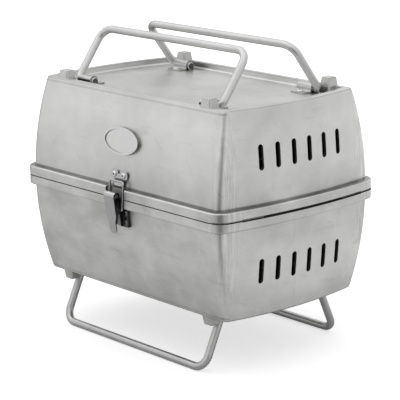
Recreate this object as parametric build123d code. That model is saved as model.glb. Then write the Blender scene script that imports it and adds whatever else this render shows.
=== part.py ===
from build123d import *
from math import acos, atan, atan2, cos, degrees, hypot, radians
import os

os.makedirs("parts", exist_ok=True)

# Driving sizes of the two halves, in millimetres.
# Heights inside a half are measured from the plane where the halves meet.
flange_half_length = 160.0
flange_half_depth = 109.6
flange_height = 9.8
flange_bow = 10.0
flange_corner = 18.0
flange_edge_round = 1.5
flange_lip = 6.4
half_height = 103.4
wall = 2.5
wall_corner = 8.0
top_edge_round = 2.5
cavity_round = 3.0

# The walls stand on the flange, draw in a little by half height and more by the top.
end_wall_draw_middle = 0.9
end_wall_draw_top = 7.1
long_wall_draw_middle = 4.3
long_wall_draw_top = 15.2
end_wall_at_rim = flange_half_length - flange_lip
end_wall_at_middle = end_wall_at_rim - end_wall_draw_middle
end_wall_at_top = end_wall_at_rim - end_wall_draw_top
long_wall_at_rim = flange_half_depth - flange_lip
long_wall_at_middle = long_wall_at_rim - long_wall_draw_middle
long_wall_at_top = long_wall_at_rim - long_wall_draw_top

# The sunk outer face of each half, inside a raised rim whose inner side has draft.
rim_width = 7.0
rim_draft = 1.0
sunk_depth = 6.6
sunk_corner = 5.0
sunk_floor_round = 2.5
sunk_floor = half_height - sunk_depth

# The rims meet on a narrow land and stand apart outside it.
land_clearance = 0.05
land_edge_inset = 3.0
outer_gap = 0.5
end_gap = 0.95

# The ledge inside each rim that carries a cooking grid.
rebate_width = 3.4
rebate_roof = 2.3
rebate_depth = flange_height - rebate_roof

# Rod handles and legs, which are the same bent rod.
rod = 4.0
rod_floor_clearance = 0.3
rod_pivot_inset = 22.0
rod_reach = 60.5
rod_leg_inset = 36.9
rod_top_bend = 14.0
rod_foot_bend = 6.0
rod_end_length = 27.6
rod_chamfer = 0.6
front_handle_lean = 36.0
rear_handle_lean = 37.5
rod_pivot_depth = long_wall_at_top - rod_pivot_inset
rod_pivot_height = sunk_floor + rod_floor_clearance + rod
rod_leg_at = end_wall_at_top - rod_leg_inset
rod_end_at = rod_leg_at - rod_end_length

# Stop blocks behind the legs, which are cast on the rim and taper upwards.
block_height = 8.6
block_half_width = 5.75
block_depth = 11.0
block_edge_inset = 1.6
block_draft = 0.145
block_corner = 2.0
block_round = 1.2
block_clearance = 0.3
block_outer = long_wall_at_top - block_edge_inset
block_inner = block_outer - block_depth

# Straps that hold the rod ends down on the sunk floor.
strap_sheet = 1.5
strap_clearance = 0.08
strap_end_inset = 2.0
strap_width = 20.0
strap_foot_length = 15.5
strap_foot_corner = 2.5
strap_bend = 1.5
strap_rivet_offset = 10.8
strap_inner_end = rod_end_at + strap_end_inset
strap_rivet_x = strap_inner_end + strap_width / 2
strap_rivet_depth = rod_pivot_depth - strap_rivet_offset

# Vents in the end walls.
vent_count = 6
vent_width = 6.0
vent_length = 25.0
vent_height = 56.0
vent_pitch = 20.8

# Cooking grid: round rods, with the frame lying on the ledge.
grid_frame = 2.5
grid_bar = 2.0
grid_pitch = 16.0
grid_corner = 8.0
grid_clearance = 0.25
grid_weld = 0.4
stretcher_depth = 45.0
stretcher_end_gap = 4.75
grid_height = rebate_depth - grid_frame
grid_half_length = end_wall_at_rim - wall + rebate_width - grid_clearance - grid_frame
grid_half_depth = long_wall_at_rim - wall + rebate_width - grid_clearance - grid_frame

# Lugs inside the long walls, and the clips screwed on them that keep the grid in.
lug_end_inset = 65.6
lug_width = 10.0
lug_length = 9.9
lug_top = 16.0
lug_grid_clearance = 0.45
lug_at = end_wall_at_rim - lug_end_inset
lug_outer = grid_half_depth - grid_frame - lug_grid_clearance
lug_inner = lug_outer - lug_length
lug_face = rebate_depth - 2 * grid_frame - grid_clearance
clip_sheet = 1.2
clip_half_width = 4.5
clip_edge = 0.5
clip_overlap = 1.05
clip_screw = 1.7
clip_screw_head = 3.2
clip_screw_head_height = 0.7
clip_screw_length = 7.2
screw_gap = 0.05

# Charcoal grate, on four bosses under the sunk floor.
boss_radius = 5.0
boss_length = 14.0
boss_end_inset = 46.5
boss_strap_gap = 13.2
boss_x = end_wall_at_top - boss_end_inset
boss_y = strap_rivet_depth - boss_strap_gap
boss_face = sunk_floor - wall - boss_length
grate_sheet = 2.0
grate_edge_height = 8.0
grate_corner = 12.0
grate_end_inset = 15.5
grate_side_inset = 8.0
grate_slot_width = 9.0
grate_slot_pitch = 22.0
grate_middle_band = 7.0
grate_side_band = 19.0
grate_slot_boss_gap = 2.0
grate_screw = 2.35
grate_screw_head = 4.5
grate_screw_head_height = 3.0
grate_screw_length = 10.0
grate_half_length = end_wall_at_top - grate_end_inset
grate_half_depth = long_wall_at_top - grate_side_inset

# How far a cutting shape runs past the face that it opens.
cut_over = 1.0

# Rivets through sheet and casting.
rivet_shank = 1.9
strap_rivet_head = 3.4
wall_rivet_head = 3.0
rivet_tail = 2.8
rivet_tail_height = 1.0
rivet_tail_gap = 0.3
rivet_head_round = 0.8
rivet_dimple = 0.36
rivet_dimple_depth = 1.4

# Hinges at the rear, seen from the side as depth and height.
fit = 0.05
hinge_end_inset = 58.6
hinge_half_width = 15.0
hinge_pin = 1.6
hinge_pin_head = 2.6
hinge_pin_head_height = 1.0
knuckle = 3.6
knuckle_stand_off = 0.7
knuckle_middle = 4.9
knuckle_gap = 0.2
leaf_sheet = 1.5
leaf_knuckle_gap = 1.0
leaf_wall_stand = 2.0
leaf_rivet_rise = 13.2
leaf_rivet_margin = 7.0
leaf_rivet_offset = 9.0
hinge_at = end_wall_at_rim - hinge_end_inset
hinge_depth = flange_half_depth + knuckle + knuckle_stand_off
leaf_face = long_wall_at_rim + leaf_wall_stand
leaf_rivet_height = flange_height + leaf_rivet_rise

# Notch in both flanges that lets the latch lie close to the walls.
notch_half_width = 14.2
notch_depth = 3.6
notch_corner = 1.5
notch_back = -(flange_half_depth - notch_depth)

# Latch at the front. Depths there count as negative.
latch_pin = 1.2
latch_pin_head = 2.3
latch_pin_head_height = 1.0
latch_pin_height = 3.0
lever_roll = 4.0
roll_clearance = 0.3
latch_pin_depth = -(flange_half_depth + roll_clearance + lever_roll)
loop_wire = 1.1
loop_half_width = 10.4
loop_bend = 2.5
loop_foot_bend = 1.5
loop_foot_end = 6.2
loop_foot_drop = 14.5
loop_foot_inset = 4.6
loop_notch_clearance = 0.3
loop_bar_rise = 6.8
bar_clearance = 0.3
loop_foot_depth = latch_pin_depth + loop_foot_inset
loop_foot_height = latch_pin_height - loop_foot_drop
loop_ledge_depth = notch_back - loop_wire - loop_notch_clearance
loop_slope = (loop_ledge_depth - loop_foot_depth) / (flange_height - loop_foot_height)
loop_bar_height = flange_height + loop_bar_rise
loop_bar_depth = loop_foot_depth + loop_slope * (loop_bar_height - loop_foot_height)
keeper_stand = 0.6
keeper_sheet = 1.1
keeper_gap = 0.6
keeper_half_width = 7.6
keeper_lobe = 6.0
keeper_lobe_at = 7.05
keeper_rivet_rise = 12.2
keeper_hook_rise = 6.4
keeper_hook_round = 1.4
keeper_bottom = flange_height + keeper_gap
keeper_rivet_height = keeper_bottom + keeper_rivet_rise
keeper_face = -(long_wall_at_rim + keeper_stand)
base_stand = 1.6
base_gap = 0.8
base_half_width = 14.0
base_length = 18.4
base_rivet_x = 10.6
base_rivet_drops = (4.4, 14.0)
base_top = -(flange_height + base_gap)
base_bottom = base_top - base_length
base_face = -(long_wall_at_rim + base_stand)
base_cheek_at = 4.6
base_cheek_sheet = 1.2
cheek_knuckle = 2.6
cheek_notch_clearance = 0.3
cheek_shoulder_drop = 5.2
cheek_top_stand = 5.4
cheek_waist_stand = 3.6
cheek_waist_drop = 6.1
cheek_foot_stand = 1.6
lever_half_width = 7.6
lever_sheet = 1.1
lever_lean = 8.2
lever_roll_overlap = 30.0
lever_slot_clearance = 0.2
lever_shoulder_drop = 20.5
lever_tab_drop = 26.5
lever_tab_end_drop = 33.6
tab_radius = 5.3
ear_sheet = 1.2
ear_top_drop = 5.4
ear_bottom_drop = 18.5
ear_reach = loop_foot_inset
ear_corner = 2.2

# Oval badge on the upper front wall.
badge_height = 56.0
badge_half_length = 26.3
badge_half_height = 13.8
badge_edge = 2.2
badge_stand = 2.0
badge_edge_stand = 3.0
badge_pin = 1.45
badge_pin_x = 15.0


def leg_splay():
    # Degrees from upright at which the rod comes to rest at the top edge of its stop block.
    slope = block_draft
    edge_depth = block_inner + block_round * (hypot(1, slope) - slope)
    across = edge_depth - rod_pivot_depth
    along = half_height + block_height - block_round - rod_pivot_height
    stand = rod + block_clearance + block_round
    return degrees(acos(stand / hypot(across, along)) - atan2(along, across))


gap_height = rod_pivot_height + rod_reach * cos(radians(leg_splay())) + rod


def wall_half(height, at_rim, at_middle, at_top):
    # A parabola through the half size at the rim, half way up and at the top.
    t = height / half_height
    return at_rim * (1 - t) * (1 - 2 * t) + at_middle * 4 * t * (1 - t) + at_top * t * (2 * t - 1)


def long_wall_at(height):
    # Half depth of the outer wall at a height above the meeting plane.
    return wall_half(height, long_wall_at_rim, long_wall_at_middle, long_wall_at_top)


def plan(half_length, half_depth, corner, height):
    # The outline seen from above: straight long sides, bowed ends, round corners.
    corner_x = half_length - flange_bow
    edges = [
        Line((-corner_x, -half_depth), (corner_x, -half_depth)),
        ThreePointArc((corner_x, -half_depth), (half_length, 0), (corner_x, half_depth)),
        Line((corner_x, half_depth), (-corner_x, half_depth)),
        ThreePointArc((-corner_x, half_depth), (-half_length, 0), (-corner_x, -half_depth)),
    ]
    face = make_face(edges)
    face = fillet(face.vertices(), corner)
    return Pos(0, 0, height) * face


def wall_plan(height, inset):
    # The outline of the curved walls at one height, moved inwards by the inset.
    return plan(
        wall_half(height, end_wall_at_rim, end_wall_at_middle, end_wall_at_top) - inset,
        long_wall_at(height) - inset,
        wall_corner - inset,
        height,
    )


def wall_loft(top, inset):
    # A smooth body through three outlines of the curved walls.
    return loft([wall_plan(0, inset), wall_plan(top / 2, inset), wall_plan(top, inset)])


def rim_plan(outset, corner, height):
    # An outline that follows the inside of the wall's foot, moved outwards by the outset.
    return plan(end_wall_at_rim - wall + outset, long_wall_at_rim - wall + outset, corner, height)


def top_plan(inset, corner, height):
    # An outline that follows the wall's top edge, moved inwards by the inset.
    return plan(end_wall_at_top - inset, long_wall_at_top - inset, corner, height)


def block(low, high):
    # A box between two opposite corners.
    size = [high[i] - low[i] for i in range(3)]
    middle = [(high[i] + low[i]) / 2 for i in range(3)]
    return Pos(*middle) * Box(*size)


def slab(low, high):
    # All that lies between two heights, wider than the grill.
    reach = flange_half_length + flange_half_depth
    return block((-reach, -reach, low), (reach, reach, high))


def bar_along_x(radius, depth, height, x_low, x_high):
    # A round bar along the length, placed by its centre line.
    middle = (x_low + x_high) / 2
    return Pos(middle, depth, height) * Rot(0, 90, 0) * Cylinder(radius, x_high - x_low)


def side_plate(points, x_low, x_high):
    # A plate cut to an outline of depth and height points, upright and across the length.
    face = make_face(Polyline(points, close=True))
    return Pos(x_low, 0, 0) * extrude(Plane.YZ * face, x_high - x_low)


def rivet(head_radius, head_height, shank_radius, grip):
    # A domed head with a dimple, above the origin, a shank through the grip and a flat tail.
    head = Pos(0, 0, head_height / 2) * Cylinder(head_radius, head_height)
    head = fillet(head.edges().sort_by(Axis.Z)[-1], head_height * rivet_head_round)
    head -= Pos(0, 0, head_height) * Cylinder(head_radius * rivet_dimple, rivet_dimple_depth)
    shank = Pos(0, 0, -grip / 2) * Cylinder(shank_radius, grip)
    tail = Pos(0, 0, -grip - rivet_tail_height / 2) * Cylinder(rivet_tail, rivet_tail_height)
    return head + shank + tail


def corners():
    # The four corner signs of a half, with the word for each.
    return [(-1, -1, "front_left"), (1, -1, "front_right"), (-1, 1, "rear_left"), (1, 1, "rear_right")]


def drilled(shape, radius, places):
    # Holes along the depth through a long wall, as (x, height, side) places.
    for x, height, side in places:
        middle = side * (long_wall_at(abs(height)) - wall / 2)
        shape -= Pos(x, middle, height) * Rot(90, 0, 0) * Cylinder(radius, 8 * wall)
    return shape


def lowered(shape):
    # The same piece turned over for the lower half.
    return Rot(180, 0, 0) * shape


def save(shape, name):
    # Lift a piece from the meeting plane to its height above the floor and write it.
    export_step(Pos(0, 0, gap_height) * shape, "parts/" + name + ".step")


def save_pair(pieces, name):
    # One group for the upper half and the same, turned over, for the lower half.
    save(Compound(pieces), "upper_" + name)
    save(Compound([lowered(piece) for piece in pieces]), "lower_" + name)


outer_body = wall_loft(half_height, 0)
outer_body = fillet(outer_body.edges().group_by(Axis.Z)[-1], top_edge_round)


# Half shell: one casting with a stepped flange, barrel walls and a sunk outer face.
def half_shell():
    flange = extrude(plan(flange_half_length, flange_half_depth, flange_corner, 0), flange_height)
    flange = fillet(flange.edges().group_by(Axis.Z)[-1], flange_edge_round)
    shell = outer_body + flange
    cavity = wall_loft(sunk_floor - wall, wall)
    cavity = fillet(cavity.edges().group_by(Axis.Z)[-1], cavity_round)
    shell -= cavity
    shell -= extrude(rim_plan(rebate_width, wall_corner - wall + rebate_width, 0), rebate_depth)
    land = plan(
        flange_half_length - land_edge_inset, flange_half_depth - land_edge_inset,
        flange_corner - land_edge_inset, -cut_over,
    )
    gap = slab(-cut_over, outer_gap)
    reach = 2 * flange_half_length
    for end in (-1, 1):
        near, far = sorted((end * (flange_half_length - flange_corner), end * reach))
        gap += block((near, -reach, -cut_over), (far, reach, end_gap))
    shell -= gap - extrude(land, end_gap + 2 * cut_over)
    shell -= slab(-cut_over, land_clearance)
    above = half_height + cut_over
    sunk = loft([
        top_plan(rim_width + rim_draft, sunk_corner, sunk_floor),
        top_plan(rim_width, sunk_corner + rim_draft, above),
    ])
    sunk = fillet(sunk.edges().group_by(Axis.Z)[0], sunk_floor_round)
    return shell - sunk


# Stop block: a tapered pad with rounded edges, rooted in the sunk floor.
def stop_block():
    outlines = []
    for drop in (block_height + sunk_depth, 0):
        grow = 2 * block_draft * drop
        outline = RectangleRounded(2 * block_half_width + grow, block_depth + grow, block_corner)
        outlines.append(Pos(0, 0, half_height + block_height - drop) * outline)
    pad = loft(outlines)
    return fillet(pad.edges().group_by(Axis.Z)[-1], block_round)


# Lug: an arm from the wall above the grid frame, turned down inside it to take a clip.
def lug(side):
    arm_low = rebate_depth + 2 * grid_clearance
    root = long_wall_at_rim - wall + rebate_width / 2
    near, far = sorted((side * lug_inner, side * root))
    arm = block((-lug_width / 2, near, arm_low), (lug_width / 2, far, lug_top))
    near, far = sorted((side * lug_inner, side * lug_outer))
    return arm + block((-lug_width / 2, near, lug_face), (lug_width / 2, far, arm_low + 1))


lug_screw_depth = (lug_inner + lug_outer) / 2
keeper_rivets_at = [(end * keeper_lobe_at, keeper_rivet_height, -1) for end in (-1, 1)]
base_rivets_at = [
    (end * base_rivet_x, base_top - drop, -1) for end in (-1, 1) for drop in base_rivet_drops
]
badge_pins_at = [(end * badge_pin_x, badge_height, -1) for end in (-1, 1)]
hinge_rivets_at = [
    (end * hinge_at + offset, leaf_rivet_height, 1)
    for end in (-1, 1) for offset in (-leaf_rivet_offset, leaf_rivet_offset)
]
lower_hinge_rivets_at = [(x, -height, side) for x, height, side in hinge_rivets_at]

plain_shell = half_shell()
stop = stop_block()
boss = Pos(0, 0, boss_length / 2) * Cylinder(boss_radius, boss_length + wall)
for end_x, side_y, word in corners():
    plain_shell += Pos(end_x * rod_leg_at, side_y * (block_outer + block_inner) / 2, 0) * stop
    plain_shell += Pos(end_x * boss_x, side_y * boss_y, boss_face + wall / 2) * boss
    plain_shell += Pos(end_x * lug_at, 0, 0) * lug(side_y)
    hole = Pos(end_x * strap_rivet_x, side_y * strap_rivet_depth, sunk_floor - wall / 2)
    plain_shell -= hole * Cylinder(rivet_shank, 2 * wall)
    hole = Pos(end_x * boss_x, side_y * boss_y, boss_face + grate_screw_length / 2)
    plain_shell -= hole * Cylinder(grate_screw + screw_gap, grate_screw_length)
    hole = Pos(end_x * lug_at, side_y * lug_screw_depth, lug_face + clip_screw_length / 2)
    plain_shell -= hole * Cylinder(clip_screw + screw_gap, clip_screw_length)
for number in range(vent_count):
    depth = (number - (vent_count - 1) / 2) * vent_pitch
    slot = Plane.YZ * Pos(depth, vent_height) * Rot(0, 0, 90) * SlotOverall(vent_length, vent_width)
    plain_shell -= extrude(slot, flange_half_length, both=True)

notch_outline = RectangleRounded(2 * notch_half_width, 4 * notch_depth, notch_corner)
notch = extrude(notch_outline, flange_height + cut_over, both=True)
notch = Pos(0, notch_back - 2 * notch_depth, 0) * notch
upper_shell = drilled(plain_shell - notch, rivet_shank, keeper_rivets_at + hinge_rivets_at)
upper_shell = drilled(upper_shell, badge_pin + screw_gap, badge_pins_at)
lower_shell = lowered(plain_shell) - notch
lower_shell = drilled(lower_shell, rivet_shank, base_rivets_at + lower_hinge_rivets_at)
save(upper_shell, "upper_shell")
save(lower_shell, "lower_shell")


# Strap: bent sheet over a rod end, with one flat foot riveted to the sunk floor.
def strap(end, side):
    inside = rod + strap_clearance
    outside = inside + strap_sheet
    down = rod_pivot_height - sunk_floor
    profile = Circle(outside) + Pos(0, -down / 2) * Rectangle(2 * outside, down)
    foot = Rectangle(strap_foot_length, strap_sheet)
    profile += Pos(-strap_foot_length / 2, -down + strap_sheet / 2) * foot
    profile -= Circle(inside) + Pos(0, -down / 2) * Rectangle(2 * inside, down)
    profile -= Pos(0, -down - outside) * Rectangle(4 * outside, 2 * outside)
    bends = [(-outside, strap_sheet - down, strap_bend), (-inside, -down, strap_bend + strap_sheet)]
    for depth, height, bend in bends:
        profile = fillet(profile.vertices().sort_by_distance((depth, height, 0))[0], bend)
    bent = extrude(Plane.YZ * profile, strap_width)
    bent = Pos(strap_inner_end, rod_pivot_depth, rod_pivot_height) * bent
    hole = Pos(strap_rivet_x, strap_rivet_depth, sunk_floor)
    bent -= hole * Cylinder(rivet_shank, 4 * strap_sheet)
    bent = fillet(bent.edges().filter_by(Axis.Z).group_by(Axis.Y)[0], strap_foot_corner)
    if end < 0:
        bent = mirror(bent, Plane.YZ)
    if side < 0:
        bent = mirror(bent, Plane.XZ)
    return bent


strap_rivet = rivet(strap_rivet_head, strap_sheet, rivet_shank, wall + strap_sheet)
strap_rivets = []
for end_x, side_y, word in corners():
    piece = strap(end_x, side_y)
    save(piece, "upper_strap_" + word)
    save(mirror(piece, Plane.XY), "lower_strap_" + word)
    place = Pos(end_x * strap_rivet_x, side_y * strap_rivet_depth, sunk_floor + strap_sheet)
    strap_rivets.append(place * strap_rivet)
save_pair(strap_rivets, "strap_rivets")


# Bent rod: a U with both ends turned inwards, drawn upright over its pivot line.
def bent_rod():
    path = FilletPolyline(
        (-rod_end_at, 0), (-rod_leg_at, 0), (-rod_leg_at, rod_reach),
        (rod_leg_at, rod_reach), (rod_leg_at, 0), (rod_end_at, 0),
        radius=[rod_foot_bend, rod_top_bend, rod_top_bend, rod_foot_bend],
    )
    section = Plane(origin=(-rod_end_at, 0, 0), z_dir=(-1, 0, 0)) * Circle(rod)
    bent = sweep(section, path)
    bent = chamfer(bent.faces().filter_by(Axis.X).edges(), rod_chamfer)
    return Rot(90, 0, 0) * bent


rod_piece = bent_rod()


def placed_rod(side, outward):
    # The rod hung on its pivot line and turned outwards by an angle from upright.
    return Pos(0, side * rod_pivot_depth, rod_pivot_height) * Rot(-side * outward, 0, 0) * rod_piece


save(placed_rod(-1, -front_handle_lean), "upper_front_handle")
save(placed_rod(1, -rear_handle_lean), "upper_rear_handle")
save(mirror(placed_rod(-1, leg_splay()), Plane.XY), "lower_front_leg")
save(mirror(placed_rod(1, leg_splay()), Plane.XY), "lower_rear_leg")


# Cooking grid: a round-rod frame on the ledge, cross bars and two stretchers under them.
def cooking_grid():
    outline = plan(grid_half_length, grid_half_depth, grid_corner, grid_height)
    path = outline.faces()[0].outer_wire()
    section = Plane(origin=path @ 0, z_dir=path % 0) * Circle(grid_frame)
    grid = sweep(section, path)
    inside = Pos(0, 0, -grid_frame) * extrude(outline, 2 * grid_frame)
    last = int((grid_half_length - 2 * grid_frame - grid_bar) / grid_pitch)
    for number in range(-last, last + 1):
        bar = Rot(90, 0, 0) * Cylinder(grid_bar, 2 * grid_half_depth)
        grid += Pos(number * grid_pitch, 0, grid_height) * bar & inside
    stretcher_end = grid_half_length - stretcher_end_gap
    above = grid_height + grid_bar + grid_frame - grid_weld
    for side in (-1, 1):
        grid += bar_along_x(grid_frame, side * stretcher_depth, above, -stretcher_end, stretcher_end)
    return grid


save_pair([cooking_grid()], "cooking_grid")

# Clips that keep each cooking grid on its ledge, with their screws.
clips = []
clip_screws = []
for end_x, side_y, word in corners():
    near, far = sorted((side_y * (lug_inner + clip_edge), side_y * (grid_half_depth + clip_overlap)))
    low = (end_x * lug_at - clip_half_width, near, lug_face - clip_sheet)
    high = (end_x * lug_at + clip_half_width, far, lug_face)
    spot = Pos(end_x * lug_at, side_y * lug_screw_depth, lug_face - clip_sheet)
    clips.append(block(low, high) - spot * Cylinder(clip_screw + screw_gap, 4 * clip_sheet))
    head = Pos(0, 0, -clip_screw_head_height / 2) * Cylinder(clip_screw_head, clip_screw_head_height)
    shank = Pos(0, 0, clip_screw_length / 2) * Cylinder(clip_screw, clip_screw_length)
    clip_screws.append(spot * (head + shank))
save_pair(clips, "grid_clips")
save_pair(clip_screws, "clip_screws")


# Charcoal grate: a slotted plate screwed to four bosses, its edge turned towards the sunk floor.
def charcoal_grate():
    length = 2 * grate_half_length
    depth = 2 * grate_half_depth
    outline = RectangleRounded(length, depth, grate_corner)
    inner = RectangleRounded(length - 2 * grate_sheet, depth - 2 * grate_sheet, grate_corner - grate_sheet)
    plate = extrude(outline, grate_sheet) + extrude(outline - inner, grate_edge_height)
    slot_length = grate_half_depth - grate_middle_band - grate_side_band
    row_depth = grate_middle_band + slot_length / 2
    last_reach = boss_x - boss_radius - grate_slot_boss_gap - grate_slot_width / 2
    last = int(last_reach / grate_slot_pitch)
    for row in (-1, 1):
        for column in range(-last, last + 1):
            slot = Rot(0, 0, 90) * SlotOverall(slot_length, grate_slot_width)
            plate -= extrude(Pos(column * grate_slot_pitch, row * row_depth) * slot, 2 * grate_sheet)
    for end_x, side_y, word in corners():
        hole = Cylinder(grate_screw + 3 * screw_gap, 4 * grate_sheet)
        plate -= Pos(end_x * boss_x, side_y * boss_y, 0) * hole
    return Pos(0, 0, boss_face - grate_sheet) * plate


grate_screws = []
for end_x, side_y, word in corners():
    spot = Pos(end_x * boss_x, side_y * boss_y, boss_face - grate_sheet)
    head = Pos(0, 0, -grate_screw_head_height / 2) * Cylinder(grate_screw_head, grate_screw_head_height)
    head = fillet(head.edges().sort_by(Axis.Z)[0], grate_screw_head_height / 2)
    shank = Pos(0, 0, grate_screw_length / 2) * Cylinder(grate_screw, grate_screw_length)
    grate_screws.append(spot * (head + shank))
save_pair([charcoal_grate()], "charcoal_grate")
save_pair(grate_screws, "grate_screws")


# Wall rivets: through a plate on a long wall, with the head outside and the tail inside.
def wall_rivets(places, plate_face):
    pieces = []
    for x, height, side in places:
        grip = plate_face - long_wall_at(abs(height)) + wall + rivet_tail_gap
        piece = rivet(wall_rivet_head, leaf_sheet, rivet_shank, grip)
        pieces.append(Pos(x, side * plate_face, height) * Rot(-90 * side, 0, 0) * piece)
    return pieces


# Hinge leaf: a plate on the wall that steps over the flange to its share of the knuckles.
def hinge_leaf(end, spans):
    middle = end * hinge_at
    low_x = middle - hinge_half_width
    high_x = middle + hinge_half_width
    step_low = flange_height + fit
    step_high = step_low + leaf_sheet
    plate_low = knuckle + leaf_knuckle_gap
    inner = flange_half_depth + fit
    outer = inner + leaf_sheet
    leaf_top = leaf_rivet_height + leaf_rivet_margin
    root = long_wall_at(leaf_top) - wall / 2
    leaf = block((low_x, root, step_low), (high_x, leaf_face, leaf_top)) - outer_body
    leaf += block((low_x, long_wall_at_rim + fit, step_low), (high_x, outer, step_high))
    leaf += block((low_x, inner, plate_low), (high_x, outer, step_high))
    for low, high in spans:
        leaf += bar_along_x(knuckle, hinge_depth, 0, middle + low, middle + high)
        leaf += block((middle + low, inner, outer_gap + 3 * fit), (middle + high, outer, plate_low + fit))
        bore_ends = (middle + low - cut_over, middle + high + cut_over)
        leaf -= bar_along_x(hinge_pin + fit, hinge_depth, 0, *bore_ends)
    return leaf


outer_knuckle = knuckle_middle + knuckle_gap
for end_x, word in ((-1, "left"), (1, "right")):
    upper_leaf = hinge_leaf(end_x, [(-knuckle_middle, knuckle_middle)])
    lower_spans = [(-hinge_half_width, -outer_knuckle), (outer_knuckle, hinge_half_width)]
    lower_leaf = mirror(hinge_leaf(end_x, lower_spans), Plane.XY)
    upper_places = [spot for spot in hinge_rivets_at if spot[0] * end_x > 0]
    lower_places = [spot for spot in lower_hinge_rivets_at if spot[0] * end_x > 0]
    save(drilled(upper_leaf, rivet_shank, upper_places), word + "_hinge_upper_leaf")
    save(drilled(lower_leaf, rivet_shank, lower_places), word + "_hinge_lower_leaf")
    middle = end_x * hinge_at
    pin = bar_along_x(hinge_pin, hinge_depth, 0, middle - hinge_half_width, middle + hinge_half_width)
    for end in (-1, 1):
        near, far = sorted((end * hinge_half_width, end * (hinge_half_width + hinge_pin_head_height)))
        pin += bar_along_x(hinge_pin_head, hinge_depth, 0, middle + near, middle + far)
    save(pin, word + "_hinge_pin")
save(Compound(wall_rivets(hinge_rivets_at, leaf_face)), "upper_hinge_rivets")
save(Compound(wall_rivets(lower_hinge_rivets_at, leaf_face)), "lower_hinge_rivets")


# Latch keeper: a two-lobed plate on the upper wall whose lower end is folded out and up.
# The loop's bar stands just in front of the fold, clear of it by the bar clearance.
def latch_keeper():
    root = -(long_wall_at(keeper_rivet_height + keeper_lobe) - wall / 2)
    keeper = block(
        (-keeper_half_width, keeper_face, keeper_bottom),
        (keeper_half_width, root, keeper_rivet_height + keeper_sheet),
    )
    for x, height, side in keeper_rivets_at:
        lobe = Pos(0, 0, (root - keeper_face) / 2) * Cylinder(keeper_lobe, root - keeper_face)
        keeper += Pos(x, keeper_face, height) * Rot(-90, 0, 0) * lobe
    keeper -= outer_body
    nose = loop_bar_depth + loop_wire + bar_clearance
    hook_top = keeper_bottom + keeper_hook_rise
    hook = block(
        (-keeper_half_width, nose, keeper_bottom),
        (keeper_half_width, keeper_face + keeper_sheet / 4, hook_top),
    )
    hook = fillet(hook.edges().filter_by(Axis.X).group_by(Axis.Z)[0].sort_by(Axis.Y)[0], keeper_hook_round)
    scoop = block(
        (-keeper_half_width - cut_over, nose + keeper_sheet, keeper_bottom + keeper_sheet),
        (keeper_half_width + cut_over, keeper_face, hook_top + cut_over),
    )
    return drilled(keeper + (hook - scoop), rivet_shank, keeper_rivets_at)


save(latch_keeper(), "latch_keeper")
save(Compound(wall_rivets(keeper_rivets_at, -keeper_face)), "keeper_rivets")


# Latch base: a plate on the lower wall with two cheeks that rise through the notch to the pin.
def latch_base():
    root = -(long_wall_at(-base_bottom) - wall / 2)
    base = block((-base_half_width, base_face, base_bottom), (base_half_width, root, base_top))
    base -= lowered(outer_body)
    back = base_face + base_stand / 2
    inner = notch_back - cheek_notch_clearance
    outline = [
        (back, base_bottom), (back, base_top), (inner, base_top),
        (inner, latch_pin_height - cheek_shoulder_drop),
        (latch_pin_depth + cheek_knuckle, latch_pin_height),
        (latch_pin_depth - cheek_knuckle, latch_pin_height),
        (base_face - cheek_top_stand, base_top),
        (base_face - cheek_waist_stand, base_top - cheek_waist_drop),
        (base_face - cheek_foot_stand, base_bottom),
    ]
    for end in (-1, 1):
        low, high = sorted((end * base_cheek_at, end * (base_cheek_at + base_cheek_sheet)))
        base += side_plate(outline, low, high)
        base += bar_along_x(cheek_knuckle, latch_pin_depth, latch_pin_height, low, high)
    base -= bar_along_x(
        latch_pin + fit, latch_pin_depth, latch_pin_height, -lever_half_width, lever_half_width
    )
    return drilled(base, rivet_shank, base_rivets_at)


save(latch_base(), "latch_base")
save(Compound(wall_rivets(base_rivets_at, -base_face)), "base_rivets")


# Latch pin: through both cheeks of the base, with a flat head at each end.
def latch_pin_piece():
    cheek_outer = base_cheek_at + base_cheek_sheet + fit
    head_end = cheek_outer + latch_pin_head_height
    pin = bar_along_x(latch_pin, latch_pin_depth, latch_pin_height, -head_end, head_end)
    for end in (-1, 1):
        low, high = sorted((end * cheek_outer, end * head_end))
        pin += bar_along_x(latch_pin_head, latch_pin_depth, latch_pin_height, low, high)
    return pin


save(latch_pin_piece(), "latch_pin")


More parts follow.
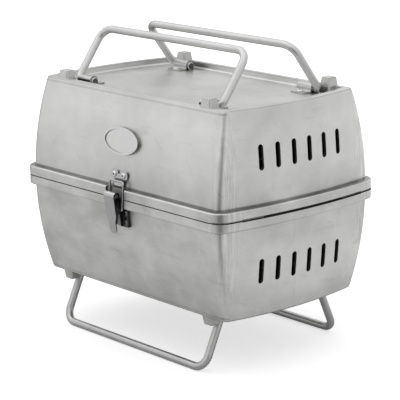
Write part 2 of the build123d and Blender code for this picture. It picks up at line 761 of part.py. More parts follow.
# Latch lever: sheet rolled round the pin at the top, with a finger tab below and two ears
# behind it that carry the loop. Drawn upright with the pin at the origin, then leaned.
def latch_lever():
    face_outer = -lever_roll
    face_inner = face_outer + lever_sheet
    outline = [
        (-lever_half_width, 0), (lever_half_width, 0), (lever_half_width, -lever_shoulder_drop),
        (tab_radius, -lever_tab_drop), (tab_radius, -lever_tab_end_drop),
        (-tab_radius, -lever_tab_end_drop), (-tab_radius, -lever_tab_drop),
        (-lever_half_width, -lever_shoulder_drop),
    ]
    face = make_face(Polyline(outline, close=True))
    face += Pos(0, -lever_tab_end_drop) * Circle(tab_radius)
    lever = Pos(0, face_inner, 0) * extrude(Plane.XZ * face, lever_sheet)

    # The roll goes over the pin and down behind it, and is cut where the base's cheeks stand.
    reach = 2 * lever_roll
    roll = bar_along_x(lever_roll, 0, 0, -lever_half_width, lever_half_width)
    past = lever_half_width + cut_over
    roll -= bar_along_x(lever_roll - lever_sheet, 0, 0, -past, past)
    roll -= block((-reach, -reach, -reach), (reach, 0, 0))
    roll -= Rot(-lever_roll_overlap, 0, 0) * block((-reach, 0, -reach), (reach, reach, 0))
    slot_low = base_cheek_at - lever_slot_clearance
    slot_high = base_cheek_at + base_cheek_sheet + lever_slot_clearance
    for end in (-1, 1):
        low, high = sorted((end * slot_low, end * slot_high))
        roll -= block((low, 0, -reach), (high, reach, reach))
    lever += roll
    lever += bar_along_x(lever_roll, 0, 0, -slot_low, slot_low)
    lever -= bar_along_x(latch_pin + fit, 0, 0, -slot_high, slot_high)

    middle = -(ear_top_drop + ear_bottom_drop) / 2
    ear_face = Rectangle(ear_reach - face_inner, ear_bottom_drop - ear_top_drop)
    ear_face = Pos((ear_reach + face_inner) / 2, middle) * ear_face
    ear_face = fillet(ear_face.vertices().group_by(Axis.X)[-1], ear_corner)
    for low in (-lever_half_width, lever_half_width - ear_sheet):
        lever += Pos(low, 0, 0) * extrude(Plane.YZ * ear_face, ear_sheet)
    lever = Pos(0, latch_pin_depth, latch_pin_height) * Rot(lever_lean, 0, 0) * lever
    return lever - bar_along_x(loop_wire + fit, loop_foot_depth, loop_foot_height, -past, past)


save(latch_lever(), "latch_lever")


# Latch loop: a wire bail from the lever's ears up to the keeper.
def latch_loop():
    rise = hypot(loop_bar_depth - loop_foot_depth, loop_bar_height - loop_foot_height)
    lean = degrees(atan(loop_slope))
    path = FilletPolyline(
        (-loop_foot_end, 0), (-loop_half_width, 0), (-loop_half_width, rise),
        (loop_half_width, rise), (loop_half_width, 0), (loop_foot_end, 0),
        radius=[loop_foot_bend, loop_bend, loop_bend, loop_foot_bend],
    )
    section = Plane(origin=(-loop_foot_end, 0, 0), z_dir=(-1, 0, 0)) * Circle(loop_wire)
    return Pos(0, loop_foot_depth, loop_foot_height) * Rot(90 - lean, 0, 0) * sweep(section, path)


save(latch_loop(), "latch_loop")


# Oval badge: a plain plate with a raised edge, pinned to the upper front wall.
def oval_badge():
    step = 1.0
    rise = long_wall_at(badge_height + step) - long_wall_at(badge_height - step)
    tilt = degrees(atan(-rise / (2 * step)))
    sunk = 2 * badge_edge_stand
    place = Pos(0, -long_wall_at(badge_height), badge_height) * Rot(90 - tilt, 0, 0) * Pos(0, 0, -sunk)
    oval = Ellipse(badge_half_length, badge_half_height)
    inner = Ellipse(badge_half_length - badge_edge, badge_half_height - badge_edge)
    badge = place * (extrude(oval, sunk + badge_stand) + extrude(oval - inner, sunk + badge_edge_stand))
    badge -= outer_body
    pin_length = wall + badge_stand
    for x, height, side in badge_pins_at:
        middle = side * (long_wall_at(height) - wall - rivet_tail_gap + pin_length / 2)
        badge += Pos(x, middle, height) * Rot(90, 0, 0) * Cylinder(badge_pin, pin_length)
    return badge


save(oval_badge(), "oval_badge")
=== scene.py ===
from math import cos, radians, sin
from types import SimpleNamespace

import bpy
from mathutils import Matrix, Vector


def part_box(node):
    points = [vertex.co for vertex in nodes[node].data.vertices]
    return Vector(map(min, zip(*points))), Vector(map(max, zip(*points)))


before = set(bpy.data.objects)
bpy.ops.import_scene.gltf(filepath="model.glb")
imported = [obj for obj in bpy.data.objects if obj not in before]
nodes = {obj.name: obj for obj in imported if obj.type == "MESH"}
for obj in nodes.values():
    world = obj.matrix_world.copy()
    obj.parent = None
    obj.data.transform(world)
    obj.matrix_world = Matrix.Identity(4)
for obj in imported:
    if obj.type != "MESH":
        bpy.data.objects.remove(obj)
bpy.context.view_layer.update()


# Half shells: two like castings in aluminium, fettled and brushed by hand outside, so that the
# grey is a little cloudy and shows fine scratches. Inside, heat and smoke leave them dull and dark,
# and painted shade darkens them further.
# The outline, flange, rim, stop blocks and vents are those of the castings themselves.
# Painted shade also lies by the flange, under and on the rim and by the straps, and painted shadow lies in
# the vents, in the gap and in the notch behind the latch.
shell_low, shell_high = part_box("upper_shell")
strap_low, strap_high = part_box("upper_strap_front_right")
gap_height = shell_low.z
flange_half_length = shell_high.x
flange_half_depth = shell_high.y
sunk_height = strap_low.z - gap_height

# Other sizes of a half, in metres: heights over the gap, and distances from the middle.
flange_height = 0.0098
rim_height = 0.1034
rim_inner_depth = 0.0800
vent_height = 0.0560
vent_half_length = 0.0125
vents_half_depth = 0.0550
notch_half_width = 0.0144
notch_back = 0.1035


def add_node(tree, kind, inputs=None, **settings):
    # One node with its settings and the numbers or links that go into it.
    node = tree.nodes.new(kind)
    for name, value in settings.items():
        setattr(node, name, value)
    for name, value in (inputs or {}).items():
        if isinstance(value, bpy.types.NodeSocket):
            tree.links.new(value, node.inputs[name])
        else:
            node.inputs[name].default_value = value
    return node


def math_node(tree, operation, first, second=0.5, third=0.5):
    # The result of one sum, product, comparison or the like.
    inputs = {0: first, 1: second, 2: third}
    return add_node(tree, "ShaderNodeMath", inputs, operation=operation).outputs[0]


def absolute(tree, value):
    # A value without its sign.
    return math_node(tree, "ABSOLUTE", value)


def product(tree, *values):
    # Several shares multiplied, each from 0 to 1.
    result = values[0]
    for value in values[1:]:
        result = math_node(tree, "MULTIPLY", result, value)
    return result


def largest(tree, *values):
    # The largest of several shares.
    result = values[0]
    for value in values[1:]:
        result = math_node(tree, "MAXIMUM", result, value)
    return result


def ramp(tree, value, low, high, result_low=0.0, result_high=1.0):
    # A value stretched smoothly from one range to another and kept inside it.
    inputs = {"Value": value, "From Min": low, "From Max": high,
              "To Min": result_low, "To Max": result_high}
    node = add_node(tree, "ShaderNodeMapRange", inputs, interpolation_type="SMOOTHSTEP")
    return node.outputs["Result"]


def within(tree, value, low, high, soft):
    # 1 where a value lies between two limits, fading out over the soft width past each of them.
    above = ramp(tree, value, low - soft, low)
    below = ramp(tree, value, high, high + soft, 1.0, 0.0)
    return product(tree, above, below)


def shaded(tree, shade, share, amount):
    # A shade made lighter by an amount, or darker where it is below 0, as far as the share says.
    return math_node(tree, "MULTIPLY_ADD", share, amount, shade)


def noise(tree, vector, scale, detail=4.0, roughness=0.55, stretch=(1, 1, 1), shift=(0, 0, 0)):
    # Cloudy noise from 0 to 1, finer with more scale and drawn out where the stretch is small.
    moved = add_node(tree, "ShaderNodeMapping", {"Vector": vector, "Scale": stretch, "Location": shift})
    inputs = {"Vector": moved.outputs[0], "Scale": scale, "Detail": detail, "Roughness": roughness}
    return add_node(tree, "ShaderNodeTexNoise", inputs).outputs["Fac"]


def dot(tree, first, second):
    # How far one direction goes along another.
    node = add_node(tree, "ShaderNodeVectorMath", {0: first, 1: second}, operation="DOT_PRODUCT")
    return node.outputs["Value"]


def split(tree, vector):
    # The x, y and z of a place or of a normal.
    return add_node(tree, "ShaderNodeSeparateXYZ", {0: vector}).outputs


def combined(tree, red, green, blue):
    # A colour from its three shades.
    return add_node(tree, "ShaderNodeCombineColor", {0: red, 1: green, 2: blue}).outputs[0]


def new_finish(name):
    # An empty material whose principled shader is joined to the output.
    finish = bpy.data.materials.new(name)
    finish.use_nodes = True
    tree = finish.node_tree
    tree.nodes.clear()
    shader = add_node(tree, "ShaderNodeBsdfPrincipled")
    output = add_node(tree, "ShaderNodeOutputMaterial")
    tree.links.new(shader.outputs[0], output.inputs[0])
    place = add_node(tree, "ShaderNodeTexCoord")
    return finish, tree, shader, place


def put_on(finish, *names):
    # The finish on CAD nodes that keep their own shape.
    for name in names:
        nodes[name].data.materials.clear()
        nodes[name].data.materials.append(finish)


def read_casting(tree, place):
    # What the finish goes by: heights over the gap, distances from the middle, how far a face is
    # turned to the ends or lies flat, and the clouds, blotches, strokes and grain of the metal.
    where = place.outputs["Object"]
    x, y, z = split(tree, where)
    normal = split(tree, place.outputs["Normal"])
    height = math_node(tree, "SUBTRACT", z, gap_height)
    return SimpleNamespace(
        where=where,
        normal=place.outputs["Normal"],
        y=y,
        height=height,
        rise=absolute(tree, height),
        along=absolute(tree, x),
        across=absolute(tree, y),
        to_end=absolute(tree, normal[0]),
        flat=absolute(tree, normal[2]),
        clouds=noise(tree, where, 11.0, detail=4.0, roughness=0.55, shift=(0.3, 0.1, 0.2)),
        blotches=noise(tree, where, 42.0, detail=6.0, roughness=0.62, shift=(3, 1, 2)),
        strokes=noise(tree, where, 26.0, detail=6.0, roughness=0.72, stretch=(1, 1, 24)),
        grain=noise(tree, where, 420.0, detail=3.0, roughness=0.7, shift=(1, 6, 4)),
    )


def brushed_grey(tree, at):
    # The bare metal's grey, with streaks down the rounded corners, where the brush was held upright.
    darkest = 0.41
    shade = shaded(tree, darkest, at.clouds, 0.36)
    shade = shaded(tree, shade, at.blotches, 0.16)
    shade = shaded(tree, shade, at.strokes, 0.07)
    shade = shaded(tree, shade, at.grain, 0.06)

    corner_end = flange_half_length - 0.0320
    corner_front = flange_half_depth - 0.0376
    corner = product(
        tree, ramp(tree, at.along, corner_end, corner_end + 0.018),
        ramp(tree, at.across, corner_front, corner_front + 0.020),
    )
    upright = noise(tree, at.where, 60.0, detail=6.0, roughness=0.7, stretch=(6, 6, 0.4), shift=(5, 5, 5))
    streaks = ramp(tree, upright, 0.40, 0.64, 0.07, -0.10)
    return shaded(tree, shade, corner, streaks)


def shade_by_flange(tree, at, shade):
    # Patchy painted shade on the walls next to the flange, and a dark painted line of shade in the root of
    # the flange's ledge.
    zone_end = 0.046
    zone = ramp(tree, at.rise, flange_height + 0.0012, zone_end, 1.0, 0.0)
    patchy = ramp(tree, at.clouds, 0.40, 0.60, 1.0, 0.35)
    shade = shaded(tree, shade, product(tree, zone, patchy), -0.10)

    end_edge = flange_half_length - 0.0012
    front_edge = flange_half_depth - 0.0012
    off_end = ramp(tree, at.along, end_edge - 0.0015, end_edge, 1.0, 0.0)
    off_front = ramp(tree, at.across, front_edge - 0.0014, front_edge, 1.0, 0.0)
    by_ledge = within(tree, at.rise, flange_height - 0.0001, flange_height + 0.0016, 0.0006)
    root = product(tree, by_ledge, off_end, off_front)
    return shaded(tree, shade, root, -0.32)


def shade_under_rim(tree, at, shade):
    # Painted shade on the walls, darker towards the rim, with a painted dark line where they turn over to
    # it.
    near_rim = ramp(tree, at.rise, rim_height - 0.0234, rim_height - 0.0054)
    upright_face = ramp(tree, at.flat, 0.5, 0.8, 1.0, 0.0)
    shade = shaded(tree, shade, product(tree, near_rim, upright_face), -0.05)

    # The line keeps to the outer walls, because the round at the foot of the rim's inner side lies
    # at the same height.
    outer_length = 0.130
    outer_depth = 0.074
    as_far_out = math_node(tree, "ADD", at.across, outer_length - outer_depth)
    outside = ramp(tree, largest(tree, as_far_out, at.along), outer_length, outer_length + 0.002)
    turn_height = within(tree, at.rise, rim_height - 0.0044, rim_height - 0.0028, 0.0006)
    turning = within(tree, at.flat, 0.30, 0.72, 0.1)
    outer_turn = product(tree, turn_height, turning, outside)
    return shaded(tree, shade, outer_turn, -0.22)


def shade_on_top(tree, at, shade):
    # Painted shade: a darker sunk face, darker sides and turns on the rim and the stop blocks, and a
    # painted shadow between the straps and the rim.
    sunk_face = product(
        tree, ramp(tree, at.rise, sunk_height - 0.0008, sunk_height - 0.0002),
        ramp(tree, at.flat, 0.85, 0.97),
    )
    shade = shaded(tree, shade, sunk_face, -0.10)
    raised_sides = product(
        tree, ramp(tree, at.rise, rim_height - 0.0018, rim_height - 0.0008),
        ramp(tree, at.flat, 0.85, 0.95, 1.0, 0.0),
    )
    shade = shaded(tree, shade, raised_sides, -0.10)
    raised_turns = product(tree, raised_sides, within(tree, at.flat, 0.35, 0.80, 0.08))
    shade = shaded(tree, shade, raised_turns, -0.16)
    by_strap = product(
        tree, within(tree, at.along, strap_low.x - 0.004, strap_high.x + 0.008, 0.012),
        within(tree, at.across, rim_inner_depth - 0.0095, rim_inner_depth, 0.0020),
        within(tree, at.rise, sunk_height - 0.0008, rim_height - 0.0019, 0.0015),
    )
    return shaded(tree, shade, by_strap, -0.30)


def mottled(tree, at, shade):
    # The lower half has had more handling, and is the more mottled of the two, least on its ends.
    mottle = noise(tree, at.where, 19.0, detail=5.0, roughness=0.60, stretch=(1, 1, 1.7), shift=(6, 2, 8))
    lower_half = ramp(tree, at.height, -0.004, 0.0, 1.0, 0.0)
    end_start = flange_half_length - 0.025
    on_front = ramp(tree, at.along, end_start, end_start + 0.015, 1.0, 0.35)
    change = product(tree, ramp(tree, mottle, 0.40, 0.64, 0.035, -0.075), on_front)
    return shaded(tree, shade, lower_half, change)


def scratches(tree, where, slope, start):
    # Thin lines at even steps along a slope, bent by smooth noise and broken up by coarser noise.
    lines_along = 38.0
    bend = noise(tree, where, 9.0, detail=1.0, shift=(start, 3, 5))
    bent = math_node(tree, "MULTIPLY", bend, 5.0)
    phase = math_node(tree, "MULTIPLY_ADD", dot(tree, where, slope), lines_along, bent)
    off_line = absolute(tree, math_node(tree, "SUBTRACT", math_node(tree, "FRACT", phase), 0.5))
    thin = ramp(tree, off_line, 0.010, 0.022, 1.0, 0.0)
    places = ramp(tree, noise(tree, where, 24.0, detail=2.0, shift=(9, start, 6)), 0.57, 0.63)
    return product(tree, thin, places)


def scratched(tree, at, shade):
    # Scratches kept to a few short places, and rubbed spots.
    shade = shaded(tree, shade, scratches(tree, at.where, (0.5, 0.3, 1.0), 2), -0.06)
    shade = shaded(tree, shade, scratches(tree, at.where, (1.0, 0.8, -0.5), 7), -0.05)
    smears = noise(tree, at.where, 55.0, detail=5.0, stretch=(0.35, 0.35, 1.6), shift=(4, 4, 9))
    return shaded(tree, shade, ramp(tree, smears, 0.60, 0.72), -0.07)


def soot_and_shadow_places(tree, at):
    # Smoke-blackened and painted dark as shade inside, where the surface faces the middle of the grill,
    # and painted shadow in the vents and in the gap. The notch behind the latch gets a lighter painted
    # shadow.
    from_middle = {0: at.where, 1: (0, 0, gap_height)}
    outward = add_node(tree, "ShaderNodeVectorMath", from_middle, operation="SUBTRACT").outputs[0]
    facing_in = math_node(tree, "LESS_THAN", dot(tree, outward, at.normal), 0.0)
    under_sunk_face = math_node(tree, "LESS_THAN", at.rise, sunk_height - 0.0012)
    inside = product(tree, facing_in, under_sunk_face)

    vent_margin = 0.0003
    in_end_wall = flange_half_length - 0.035
    vent_low = vent_height - vent_half_length - vent_margin
    vent_high = vent_height + vent_half_length + vent_margin
    vent_side = product(
        tree, within(tree, at.rise, vent_low, vent_high, 0.0002),
        within(tree, at.across, 0.0, vents_half_depth + 0.001, 0.0002),
        math_node(tree, "GREATER_THAN", at.along, in_end_wall),
        math_node(tree, "LESS_THAN", at.to_end, 0.5),
    )

    gap_reach = 0.0013
    end_gap_reach = 0.0014
    gap_faces = product(
        tree, math_node(tree, "LESS_THAN", at.rise, gap_reach), math_node(tree, "GREATER_THAN", at.flat, 0.7)
    )
    end_gap = product(
        tree, math_node(tree, "LESS_THAN", at.rise, end_gap_reach),
        math_node(tree, "GREATER_THAN", at.along, flange_half_length - 0.0055),
    )
    notch = product(
        tree, within(tree, at.along, 0.0, notch_half_width, 0.0001),
        math_node(tree, "LESS_THAN", at.y, -notch_back),
        math_node(tree, "LESS_THAN", at.rise, flange_height + 0.0004),
    )
    return largest(tree, inside, vent_side, gap_faces, end_gap, math_node(tree, "MULTIPLY", notch, 0.45))


def cast_finish():
    # The brushed metal, worn and with painted shade, and smoke-black with painted shadow over it, which
    # takes away the metal's shine.
    finish, tree, shader, place = new_finish("brushed_casting")
    at = read_casting(tree, place)
    shade = brushed_grey(tree, at)
    for shade_and_wear in (shade_by_flange, shade_under_rim, shade_on_top, mottled, scratched):
        shade = shade_and_wear(tree, at, shade)
    metal_colour = combined(tree, shade, shade, math_node(tree, "MULTIPLY", shade, 0.985))

    soot_and_shadow = soot_and_shadow_places(tree, at)
    dark_noise = noise(tree, at.where, 22.0, detail=6.0, roughness=0.65, shift=(7, 2, 5))
    dark_grey = math_node(tree, "MULTIPLY_ADD", dark_noise, 0.07, 0.012)
    dark_green = math_node(tree, "MULTIPLY", dark_grey, 0.94)
    dark_blue = math_node(tree, "MULTIPLY", dark_grey, 0.86)
    soot_and_shadow_colour = combined(tree, dark_grey, dark_green, dark_blue)
    covered = {0: soot_and_shadow, 6: metal_colour, 7: soot_and_shadow_colour}
    colour = add_node(tree, "ShaderNodeMix", covered, data_type="RGBA").outputs[2]
    tree.links.new(colour, shader.inputs["Base Color"])

    metal = shaded(tree, 1.0, soot_and_shadow, -0.9)
    tree.links.new(metal, shader.inputs["Metallic"])
    rough = shaded(tree, 0.32, at.blotches, 0.16)
    rough = shaded(tree, rough, soot_and_shadow, 0.4)
    tree.links.new(rough, shader.inputs["Roughness"])
    relief = math_node(tree, "MULTIPLY_ADD", at.grain, 0.6, at.strokes)
    bump = add_node(tree, "ShaderNodeBump", {"Strength": 0.10, "Distance": 0.0004, "Height": relief})
    tree.links.new(bump.outputs[0], shader.inputs["Normal"])
    return finish


put_on(cast_finish(), "lower_shell", "upper_shell")


# Straps and bent rods: the straps are stainless sheet, folded over the rods' ends and riveted to the
# sunk faces. The rods are round stainless bar, bent to a handle or a leg and sawn off square. All
# have a satin face. The legs are painted a darker grey than the handles, as shade, and painted shade
# lies on the straps' and the grips' undersides.
rod_width = 0.008


def satin_finish(name, level, roughness, cloud_scale=60.0, stretch=(1, 1, 1), warm=0.0, darkening=None):
    # Bare metal with faint clouds and fine drawn lines, darkened where the given function says, mostly with
    # painted shade.
    finish, tree, shader, place = new_finish(name)
    where = place.outputs["Object"]
    clouds = noise(tree, where, cloud_scale, detail=5.0, roughness=0.6, shift=(2, 5, 1))
    lines = noise(tree, where, 400.0, detail=3.0, roughness=0.6, stretch=stretch)
    shade = shaded(tree, level - 0.08, clouds, 0.16)
    shade = shaded(tree, shade, lines, 0.06)
    if darkening:
        kept_light = shaded(tree, 1.0, darkening(tree, place), -0.92)
        shade = product(tree, shade, kept_light)
    red = math_node(tree, "MULTIPLY", shade, 1 + warm)
    blue = math_node(tree, "MULTIPLY", shade, 1 - warm)
    tree.links.new(combined(tree, red, shade, blue), shader.inputs["Base Color"])
    shader.inputs["Metallic"].default_value = 1.0
    rough = shaded(tree, roughness - 0.06, lines, 0.12)
    tree.links.new(rough, shader.inputs["Roughness"])
    bump = add_node(tree, "ShaderNodeBump", {"Strength": 0.08, "Distance": 0.0002, "Height": lines})
    tree.links.new(bump.outputs[0], shader.inputs["Normal"])
    return finish


def dark_ends_and_shaded_undersides(tree, place):
    # The rods' sawn ends, which stand square to the case's length, made darker, and painted shade on the
    # grips' undersides.
    x, y, z = split(tree, place.outputs["Object"])
    normal = split(tree, place.outputs["Normal"])
    handle_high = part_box("upper_front_handle")[1]
    between_legs = handle_high.x - rod_width - 0.002
    square_to_length = ramp(tree, absolute(tree, normal[0]), 0.9, 0.98, 0.0, 0.88)
    sawn = product(tree, math_node(tree, "LESS_THAN", absolute(tree, x), between_legs), square_to_length)
    grip = ramp(tree, z, handle_high.z - rod_width * 2, handle_high.z - rod_width * 1.25)
    underside = product(tree, grip, ramp(tree, normal[2], -0.85, -0.40, 0.55, 0.0))
    return largest(tree, sawn, underside)


def shaded_sheet_sides(tree, place):
    # Painted shade on the strap sheet's faces towards the casting and on the low part of its outer side, and
    # darker cut edges.
    x, y, z = split(tree, place.outputs["Object"])
    normal = split(tree, place.outputs["Normal"])
    height = math_node(tree, "SUBTRACT", z, gap_height)
    rise = absolute(tree, height)
    turned_up = math_node(tree, "MULTIPLY", normal[2], math_node(tree, "SIGN", height))
    under = ramp(tree, turned_up, -0.7, -0.2, 0.85, 0.0)
    edge = ramp(tree, absolute(tree, normal[0]), 0.8, 0.95, 0.0, 0.35)
    turned_out = math_node(tree, "MULTIPLY", normal[1], math_node(tree, "SIGN", y))
    low_side_top = rim_height - 0.0012
    low_outside = product(
        tree, ramp(tree, turned_out, 0.2, 0.4),
        ramp(tree, rise, low_side_top, low_side_top + 0.0014, 1.0, 0.0),
    )
    return largest(tree, under, edge, low_outside)


corner_words = ("front_left", "front_right", "rear_left", "rear_right")
strap_finish = satin_finish("satin_sheet", 0.52, 0.30, darkening=shaded_sheet_sides)
rivet_finish = satin_finish("bright_rivet", 0.78, 0.28)
for half in ("lower", "upper"):
    put_on(strap_finish, *[half + "_strap_" + word for word in corner_words])
    put_on(rivet_finish, half + "_strap_rivets", half + "_hinge_rivets")

drawn_lengthwise = (0.15, 1, 1)
rod_finish = satin_finish("satin_rod", 0.62, 0.42, stretch=drawn_lengthwise, warm=0.004, darkening=dark_ends_and_shaded_undersides)
# The legs' rod is painted a darker grey than the handles', as shade.
leg_finish = satin_finish("shaded_leg_rod", 0.52, 0.36, stretch=drawn_lengthwise, warm=0.004, darkening=dark_ends_and_shaded_undersides)
put_on(rod_finish, "upper_front_handle", "upper_rear_handle")
put_on(leg_finish, "lower_front_leg", "lower_rear_leg")


# Hinges at the rear: leaves pressed from steel sheet, each riveted to its half, whose rolled
# knuckles turn on a drawn pin.
hinge_finish = satin_finish("hinge_sheet", 0.60, 0.32)
pin_finish = satin_finish("drawn_pin", 0.62, 0.24)
for side in ("left", "right"):
    put_on(hinge_finish, side + "_hinge_upper_leaf", side + "_hinge_lower_leaf")
    put_on(pin_finish, side + "_hinge_pin")


# Latch: a toggle lever of folded steel sheet with a wire loop, on a riveted base, and a keeper
# riveted to the upper half. The faces are polished; the sides and what faces the case carry painted
# shade, as do the sunk middles of the rivets, and the base and its rivets are painted a darker grey, as
# shade.
def painted_side_shade(tree, place):
    # Painted shade on the sides to the left and right, and on the back.
    normal = split(tree, place.outputs["Normal"])
    side = ramp(tree, absolute(tree, normal[0]), 0.6, 0.95, 0.0, 0.9)
    back = ramp(tree, normal[1], 0.1, 0.5)
    return largest(tree, side, back)


def painted_back_shade(tree, place):
    # Painted shade on the side of the wire that faces the case.
    normal = split(tree, place.outputs["Normal"])
    return ramp(tree, normal[1], -0.1, 0.4)


def shaded_sunk_middles(half_spacing, heights, radius):
    # Painted shade in the sunk middles: dark spots on rivet axes that stand square to the front, at even
    # places left and right.
    def darkening(tree, place):
        x, y, z = split(tree, place.outputs["Object"])
        aside = math_node(tree, "SUBTRACT", absolute(tree, x), half_spacing)
        spots = 0.0
        for height in heights:
            above = math_node(tree, "SUBTRACT", z, height)
            square = product(tree, aside, aside)
            off_axis = math_node(tree, "SQRT", math_node(tree, "MULTIPLY_ADD", above, above, square))
            spots = largest(tree, spots, ramp(tree, off_axis, radius * 0.7, radius, 1.0, 0.0))
        return spots
    return darkening


keeper_rivets_low, keeper_rivets_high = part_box("keeper_rivets")
rivet_radius = (keeper_rivets_high.z - keeper_rivets_low.z) / 2
sunk_radius = rivet_radius * 0.42
keeper_spacing = keeper_rivets_high.x - rivet_radius
keeper_middles = shaded_sunk_middles(keeper_spacing, [keeper_rivets_low.z + rivet_radius], sunk_radius)
put_on(satin_finish("keeper_rivet", 0.80, 0.24, darkening=keeper_middles), "keeper_rivets")

base_rivets_low, base_rivets_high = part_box("base_rivets")
base_heights = [base_rivets_low.z + rivet_radius, base_rivets_high.z - rivet_radius]
base_middles = shaded_sunk_middles(base_rivets_high.x - rivet_radius, base_heights, sunk_radius)
# The base's rivets are painted a darker grey than the keeper's, as shade.
put_on(satin_finish("base_rivet", 0.20, 0.30, darkening=base_middles), "base_rivets")

put_on(satin_finish("polished_keeper", 0.58, 0.24, darkening=painted_side_shade), "latch_keeper")
# The base is painted a darker grey than the keeper, as shade.
put_on(satin_finish("shaded_base", 0.26, 0.34, darkening=painted_side_shade), "latch_base")
put_on(satin_finish("polished_lever", 0.50, 0.20, cloud_scale=190.0, darkening=painted_side_shade), "latch_lever")
put_on(satin_finish("drawn_wire", 0.44, 0.22, darkening=painted_back_shade), "latch_loop")
put_on(pin_finish, "latch_pin")


# Badge: a bare oval plate in aluminium with a raised rim, pinned to the wall. Its low side walls,
# round the outside and inside the rim, carry painted shade.
def shaded_side_walls(tree, place):
    # Painted shade on the faces that are turned well away from the front.
    normal = split(tree, place.outputs["Normal"])
    return ramp(tree, absolute(tree, normal[1]), 0.45, 0.85, 0.72, 0.0)


put_on(satin_finish("badge_plate", 0.70, 0.34, warm=0.004, darkening=shaded_side_walls), "oval_badge")


# Cooking grids and charcoal grates, inside the case: grids of welded steel rod that small clips
# hold to the halves, and grates of slotted sheet, screwed to cast bosses. Clips and screws are
# plated.
grid_finish = satin_finish("grid_rod", 0.46, 0.28)
grate_finish = satin_finish("grate_sheet", 0.42, 0.42, warm=0.03)
fixing_finish = satin_finish("plated_fixing", 0.46, 0.30)
for half in ("lower", "upper"):
    put_on(grid_finish, half + "_cooking_grid")
    put_on(grate_finish, half + "_charcoal_grate")
    put_on(fixing_finish, half + "_grid_clips", half + "_clip_screws", half + "_grate_screws")


# Stage: a matt floor and a white studio, as in the photograph. What the metal reflects is darker
# behind the camera and at the far left, like the rest of a room, and two soft boxes light it from
# the left and from above.
pure_white = (1.0, 1.0, 1.0, 1.0)


def towards(azimuth, elevation):
    # The direction from the grill to a place in the studio, azimuth 0 being the latch side.
    turned = radians(azimuth)
    raised = radians(elevation)
    return (sin(turned) * cos(raised), -cos(turned) * cos(raised), sin(raised))


def patch(tree, direction, azimuth, elevation, inner, outer):
    # A round soft patch of directions, 1 within the inner angle and 0 past the outer one.
    along_patch = dot(tree, direction, towards(azimuth, elevation))
    return ramp(tree, along_patch, cos(radians(outer)), cos(radians(inner)))


def floor_finish():
    # Matt, with a glow for the camera alone, which fades the floor to white away from the grill, and
    # with patches that only the metal's reflections show.
    finish = bpy.data.materials.new("pale_floor")
    finish.use_nodes = True
    tree = finish.node_tree
    tree.nodes.clear()
    output = add_node(tree, "ShaderNodeOutputMaterial")
    where = add_node(tree, "ShaderNodeTexCoord").outputs["Object"]
    distance = add_node(tree, "ShaderNodeVectorMath", {0: where}, operation="LENGTH").outputs["Value"]
    outward = add_node(tree, "ShaderNodeVectorMath", {0: where}, operation="NORMALIZE").outputs[0]
    path = add_node(tree, "ShaderNodeLightPath")

    # Darker towards the camera and at the left, paler at the rear right, front left and rear left:
    # azimuth, inner and outer angle, distance where it starts and where it is full, change of shade.
    floor_patches = (
        (48, 6, 26, 0.30, 0.6, -0.66),
        (-104, 14, 38, 0.15, 0.4, -0.45),
        (132, 30, 64, 0.16, 0.3, 0.28),
        (-48, 20, 50, 0.5, 0.9, 0.22),
        (208, 30, 60, 0.3, 0.8, 0.60),
    )
    change = 0.0
    for azimuth, inner, outer, start, full, amount in floor_patches:
        from_start = ramp(tree, distance, start, full)
        place = product(tree, patch(tree, outward, azimuth, 0, inner, outer), from_start)
        change = shaded(tree, change, place, amount)
    shade = math_node(tree, "MULTIPLY_ADD", change, path.outputs["Is Glossy Ray"], 0.8)
    matt = add_node(tree, "ShaderNodeBsdfDiffuse", {"Color": combined(tree, shade, shade, shade)})

    glow_level = ramp(tree, distance, 0.06, 0.5, 0.57, 0.95)
    strength = product(tree, path.outputs["Is Camera Ray"], glow_level)
    glow = add_node(tree, "ShaderNodeEmission", {"Color": pure_white, "Strength": strength})
    both = add_node(tree, "ShaderNodeAddShader", {0: matt.outputs[0], 1: glow.outputs[0]})
    tree.links.new(both.outputs[0], output.inputs[0])
    return finish


bpy.ops.object.select_all(action="DESELECT")
bpy.ops.mesh.primitive_plane_add(size=14.0, location=(0, 0, 0))
floor = bpy.context.active_object
floor.name = "floor"
floor.data.materials.append(floor_finish())

world = bpy.data.worlds.new("studio")
bpy.context.scene.world = world
world.use_nodes = True
tree = world.node_tree
tree.nodes.clear()
direction = add_node(tree, "ShaderNodeTexCoord").outputs["Generated"]

# The walls as the metal sees them: dimmer high up at the front left and rear right, paler low at the
# front left, dark behind the camera and at the left. Each has its azimuth, elevation, inner and
# outer angle, and change of brightness.
wall_patches = (
    (-48, 32, 12, 36, -0.24),
    (132, 26, 12, 36, -0.24),
    (-48, -4, 10, 30, 0.16),
    (48, 4, 10, 30, -0.74),
    (-104, 8, 12, 34, -0.50),
)
studio = 0.95
for azimuth, elevation, inner, outer, amount in wall_patches:
    studio = shaded(tree, studio, patch(tree, direction, azimuth, elevation, inner, outer), amount)

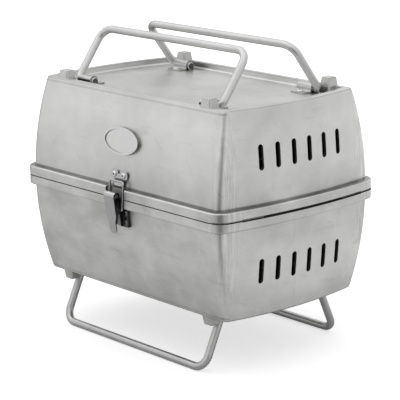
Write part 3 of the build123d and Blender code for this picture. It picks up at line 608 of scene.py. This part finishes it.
# The camera sees plain white, also through anything clear, and matt faces get a soft light all round.
path = add_node(tree, "ShaderNodeLightPath")
studio = product(tree, studio, path.outputs["Is Glossy Ray"])
strength = math_node(tree, "MULTIPLY_ADD", path.outputs["Is Diffuse Ray"], 0.55, studio)
strength = largest(tree, strength, path.outputs["Is Camera Ray"], path.outputs["Is Transmission Ray"])
background = add_node(tree, "ShaderNodeBackground", {"Color": pure_white, "Strength": strength})
output = add_node(tree, "ShaderNodeOutputWorld")
tree.links.new(background.outputs[0], output.inputs[0])


def soft_lamp(name, azimuth, elevation, distance, size, watts):
    # A square soft box that looks at the middle of the grill.
    target = Vector((0, 0, gap_height))
    place = target + Vector(towards(azimuth, elevation)) * distance
    bpy.ops.object.light_add(type="AREA", location=place)
    lamp = bpy.context.active_object
    lamp.name = name
    lamp.data.size = size
    lamp.data.energy = watts
    lamp.rotation_euler = (target - place).to_track_quat("-Z", "Y").to_euler()


soft_lamp("key_box", -60, 50, 1.6, 1.3, 2.6)
soft_lamp("top_box", 20, 85, 1.5, 2.4, 3.4)


# Camera: a long lens from the front right and a little above, as in the photograph. Its place, its
# turn and its focal length were found from the outline, the vents and the edges seen there.
camera_azimuth = radians(48.186)
camera_elevation = radians(14.083)
camera_roll = radians(-0.584)
camera_place = Vector((1.3056, -1.1642, gap_height + 0.4173))
focal_length = 156.55
forward = Vector((
    -sin(camera_azimuth) * cos(camera_elevation),
    cos(camera_azimuth) * cos(camera_elevation),
    -sin(camera_elevation),
))
level_right = Vector((cos(camera_azimuth), sin(camera_azimuth), 0))
level_up = level_right.cross(forward)
right = level_right * cos(camera_roll) + level_up * sin(camera_roll)
up = level_up * cos(camera_roll) - level_right * sin(camera_roll)
bpy.ops.object.camera_add(location=camera_place)
camera = bpy.context.active_object
turn = Matrix((right, up, -forward)).transposed()
camera.matrix_world = Matrix.Translation(camera_place) @ turn.to_4x4()
camera.data.sensor_width = 36.0
camera.data.lens = focal_length
camera.data.clip_end = 50.0
bpy.context.scene.camera = camera
bpy.context.scene.view_settings.view_transform = "Standard"
